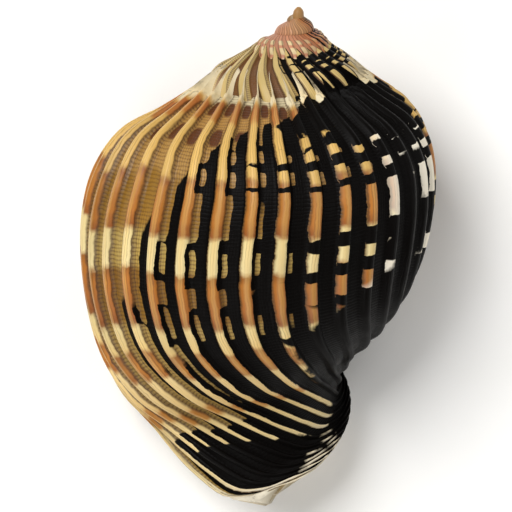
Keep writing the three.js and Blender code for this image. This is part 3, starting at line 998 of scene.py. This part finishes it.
def painted_shade_field(turn, row):
    """How much painted shade a place holds, from 0 to 1.15; the black marks' levels say what it turns black.

    It rises in a straight line with the bearing, from left of the middle of the back to the right side, and
    falls again on the far side. It starts below a line that climbs to the right. On the lower part and on the
    siphon band it reaches further left, and on the older whorls it starts further right. It is shade painted
    into the colour, darkest on the side away from a light at the upper left.
    """
    bearing = bearing_of(turn)
    fall = 1 - SHADE_FALL * smooth((bearing - FALL_FROM) / FALL_OVER)
    old_fall = 1 - SHADE_FALL * smooth((bearing - OLD_FALL_FROM) / OLD_FALL_OVER)
    start = np.interp(bearing, BLACK_START[:, 0], BLACK_START[:, 1])
    below_start = smooth((line_length(row) - start) / 4 + 0.5)
    further = SHADE_FURTHER * smooth((row - 5.6) / 1.8)
    body = np.clip((bearing - SHADE_FROM + further) / SHADE_OVER, 0, SHADE_MOST) * below_start
    siphon = SIPHON_SHADE * smooth((row - 8.7) / 1.0) * smooth((bearing + 118) / 20)
    body = np.maximum(body, siphon) * fall
    old = np.clip((bearing - OLD_SHADE_FROM) / OLD_SHADE_OVER, 0, 1) * old_fall
    oldest = 0.6 * np.clip((bearing - OLDEST_SHADE_FROM) / OLD_SHADE_OVER, 0, 1) * old_fall
    to_old = smooth((-turn - 300) / 40)
    to_oldest = smooth((-turn - 640) / 60)
    return (body * (1 - to_old) + old * to_old) * (1 - to_oldest) + oldest * to_oldest


def band_place(turn, row):
    """Where a place lies along the rows of black marks, in millimetres from the seam at full size.

    It is the growth line's length, less a slide that brings the rows lower towards the right.
    """
    length = line_length(row)
    slide = BAND_SLIDE * smooth((bearing_of(turn) + 82) / 50) * (1 - oldness(turn))
    return length - slide * smooth((length - 5) / 22)


def opening_masks(turn, row, outside):
    """The glaze round the opening, its blotch and the older whorls' orange flush, from 0 to 1."""
    glaze = glazed_over(turn, row) * outside
    blotch = np.exp(-(((turn + 350) / 45) ** 2) - ((row - 5.5) / 2.0) ** 2)
    flush = 0.8 * smooth((-turn - 660) / 60) * np.exp(-(((bearing_of(turn) - 62) / 34) ** 2)) * outside
    return glaze, blotch, flush


def fill_mesh(name, points, faces, length_map, attributes, material):
    """A mesh object at the origin, with its coil map and its point attributes."""
    mesh = bpy.data.meshes.new(name)
    mesh.from_pydata(points, [], faces)
    corners = np.empty(len(mesh.loops), dtype=np.int32)
    mesh.loops.foreach_get("vertex_index", corners)
    layer = mesh.uv_layers.new(name="coil")
    layer.data.foreach_set("uv", length_map[corners].astype(np.float32).ravel())
    for key, values in attributes.items():
        mesh.attributes.new(key, "FLOAT", "POINT").data.foreach_set("value", values.astype(np.float32))
    mesh.polygons.foreach_set("use_smooth", np.ones(len(mesh.polygons), dtype=bool))
    mesh.materials.append(material)
    mesh.update()
    piece = bpy.data.objects.new(name, mesh)
    bpy.context.scene.collection.objects.link(piece)
    return piece


class MESH_OT_add_ribbed_shell(bpy.types.Operator):
    """Adds the ribbed shell's surface in place of its solid"""

    bl_idname = "mesh.add_ribbed_shell"
    bl_label = "Add Ribbed Shell"
    bl_options = {"REGISTER", "UNDO"}

    def execute(self, context):
        sizes = context.scene.shell_sizes
        shell = Shell(sizes)
        newest_turns = spiral_columns(0, OLD_TURN, sizes.columns)
        oldest_turns = spiral_columns(FILLED_TURN, APEX_TURN, COLUMNS_PER_OLD_RIB)
        newest = Band(shell, newest_turns, spaced_rows(LAST_ROW, BODY_ROWS), True)
        oldest = Band(shell, oldest_turns, spaced_rows(RAMP_END, RAMP_ROWS), False)
        pillar, pillar_faces = pillar_surface()
        oldest_start = len(newest.points)
        pillar_start = oldest_start + len(oldest.points)
        faces = newest.faces()
        faces += [[k + oldest_start for k in face] for face in oldest.faces()]
        faces += [[k + pillar_start for k in face] for face in pillar_faces]

        # The pillar is painted as a smooth oldest whorl near the apex, and as the inside further down.
        turn = np.concatenate([newest.turn, oldest.turn, np.full(len(pillar), APEX_TURN)])
        row = np.concatenate([newest.row, oldest.row, np.full(len(pillar), 2.0)])
        rise = np.concatenate([newest.rise, oldest.rise, np.zeros(len(pillar))])
        low = (pillar[:, 1] < -5).astype(float)
        inside = np.concatenate([newest.inside, oldest.inside, low])
        glaze, blotch, flush = opening_masks(turn, row, 1 - inside)
        flush[pillar_start:] = 0
        laid = lay_down(np.concatenate([newest.points, oldest.points, pillar]))
        # The lowest places are worn flat on the floor.
        laid[:, 2] = np.maximum(laid[:, 2], 0.0)
        piece = fill_mesh(
            "shell_surface",
            laid,
            faces,
            np.column_stack([rib_count(turn), line_length(row)]),
            {
                "band": band_place(turn, row),
                # How much painted shade each place holds.
                "black": painted_shade_field(turn, row),
                "rise": rise,
                "glaze": glaze,
                "blotch": blotch,
                "flush": flush,
                "inside": inside,
            },
            shell_material(context.scene.shell_colours),
        )
        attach(piece, "root")
        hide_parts("shell")
        return {"FINISHED"}


def floor_material():
    """Pale matt paper: it has a very faint mottle, so that the shell's shadow lies on something real."""
    material = bpy.data.materials.new("pale_studio_paper")
    material.use_nodes = True
    tree = material.node_tree
    tree.nodes.clear()
    where = add(tree, "ShaderNodeTexCoord").outputs["Object"]
    mottle = add(tree, NOISE, {"Vector": where, "Scale": 40.0, "Detail": 4.0})
    paper = add(tree, RAMP, {0: mottle}, stops=[(0.3, "#F7F6F3"), (0.7, "#FBFAF8")])
    surface = add(tree, "ShaderNodeBsdfPrincipled", {"Base Color": paper, "Roughness": 0.9})
    add(tree, "ShaderNodeOutputMaterial", {"Surface": surface})
    return material


# The camera looks at the shell's back.
VIEW_PITCH = 16.0  # degrees by which the apex is tilted towards the camera
VIEW_LEAN = 3.0  # degrees by which the apex leans to the right
VIEW_BEARING = 0.0  # degrees round the axis from the middle of the back
LENS = 200.0  # millimetres
SENSOR = 36.0
FRAME_WIDTH = 0.0860  # metres that the frame shows across at the shell
VIEW_MIDDLE = np.array([-5.0, -37.5, 12.0])  # the frame's centre, in the upright shell's millimetres


def place_camera(context):
    """A long lens, far off, on the line of sight that the angles above give."""
    data = bpy.data.cameras.new("shell_camera")
    data.lens, data.sensor_width = LENS, SENSOR
    data.clip_start, data.clip_end = 0.05, 10.0
    camera = bpy.data.objects.new("shell_camera", data)
    context.scene.collection.objects.link(camera)
    pitch, bearing, lean = (math.radians(angle) for angle in (VIEW_PITCH, VIEW_BEARING, VIEW_LEAN))
    level = np.array([math.cos(bearing), 0, -math.sin(bearing)])
    outward = np.array([math.sin(bearing), 0, math.cos(bearing)])
    back = outward * math.cos(pitch) + np.array([0, math.sin(pitch), 0])
    upright = np.cross(back, level)
    right = level * math.cos(lean) + upright * math.sin(lean)
    up = upright * math.cos(lean) - level * math.sin(lean)
    origin = lay_down(np.zeros((1, 3)))
    axes = (lay_down(np.array([right, up, back])) - origin) / MM
    distance = FRAME_WIDTH * LENS / SENSOR
    middle = lay_down(VIEW_MIDDLE[None])[0]
    turned = Matrix(axes.T.tolist()).to_4x4()
    camera.matrix_world = Matrix.Translation(Vector(middle + axes[2] * distance)) @ turned
    context.scene.camera = camera


def add_light(context, name, place, power, size):
    """A square soft light that faces the shell."""
    data = bpy.data.lights.new(name, "AREA")
    data.energy, data.size = power, size
    light = bpy.data.objects.new(name, data)
    light.location = place
    light.rotation_euler = (Vector((0, 0, 0.02)) - Vector(place)).to_track_quat("-Z", "Y").to_euler()
    context.scene.collection.objects.link(light)


class SCENE_OT_add_shell_studio(bpy.types.Operator):
    """Adds the pale floor, the soft lights and the camera over the shell"""

    bl_idname = "scene.add_shell_studio"
    bl_label = "Add Studio"
    bl_options = {"REGISTER", "UNDO"}

    def execute(self, context):
        x, y = np.meshgrid(np.linspace(-2, 2, 9), np.linspace(-2, 2, 9), indexing="ij")
        points = np.stack([x, y, np.zeros_like(x)], axis=-1).reshape(-1, 3)
        corner = (np.arange(8)[:, None] * 9 + np.arange(8)[None]).reshape(-1)
        quads = np.column_stack([corner, corner + 9, corner + 10, corner + 1])
        floor_map = points[:, :2]
        floor = fill_mesh("studio_floor", points, quads.tolist(), floor_map, {}, floor_material())
        add_light(context, "key_light", (-0.35, 0.3, 0.85), 9.0, 0.6)
        add_light(context, "fill_light", (0.8, 0.1, 0.6), 2.8, 0.7)
        add_light(context, "low_light", (-0.25, -0.85, 0.5), 3.5, 0.6)
        world = bpy.data.worlds.new("pale_room")
        world.use_nodes = True
        background = world.node_tree.nodes["Background"]
        background.inputs["Color"].default_value = linear("#F6F4F0")
        background.inputs["Strength"].default_value = 0.22
        context.scene.world = world
        context.scene.view_settings.view_transform = "Standard"
        place_camera(context)
        return {"FINISHED"}


class VIEW3D_PT_ribbed_shell(bpy.types.Panel):
    """Lists the shell's sizes, colours and makers"""

    bl_label = "Ribbed Whelk Shell"
    bl_idname = "VIEW3D_PT_ribbed_shell"
    bl_space_type = "VIEW_3D"
    bl_region_type = "UI"
    bl_category = "Shell"

    def draw(self, context):
        layout = self.layout
        for group in (context.scene.shell_sizes, context.scene.shell_colours):
            column = layout.column()
            for key in group.__annotations__:
                column.prop(group, key)
        layout.operator(MESH_OT_add_ribbed_shell.bl_idname)
        layout.operator(SCENE_OT_add_shell_studio.bl_idname)


CLASSES = (
    ShellSizes,
    ShellColours,
    MESH_OT_add_ribbed_shell,
    SCENE_OT_add_shell_studio,
    VIEW3D_PT_ribbed_shell,
)


def register():
    for cls in CLASSES:
        bpy.utils.register_class(cls)
    bpy.types.Scene.shell_sizes = PointerProperty(type=ShellSizes)
    bpy.types.Scene.shell_colours = PointerProperty(type=ShellColours)


def unregister():
    del bpy.types.Scene.shell_colours
    del bpy.types.Scene.shell_sizes
    for cls in reversed(CLASSES):
        bpy.utils.unregister_class(cls)


def main():
    register()
    bpy.ops.mesh.add_ribbed_shell()
    bpy.ops.scene.add_shell_studio()


if __name__ == "__main__":
    main()
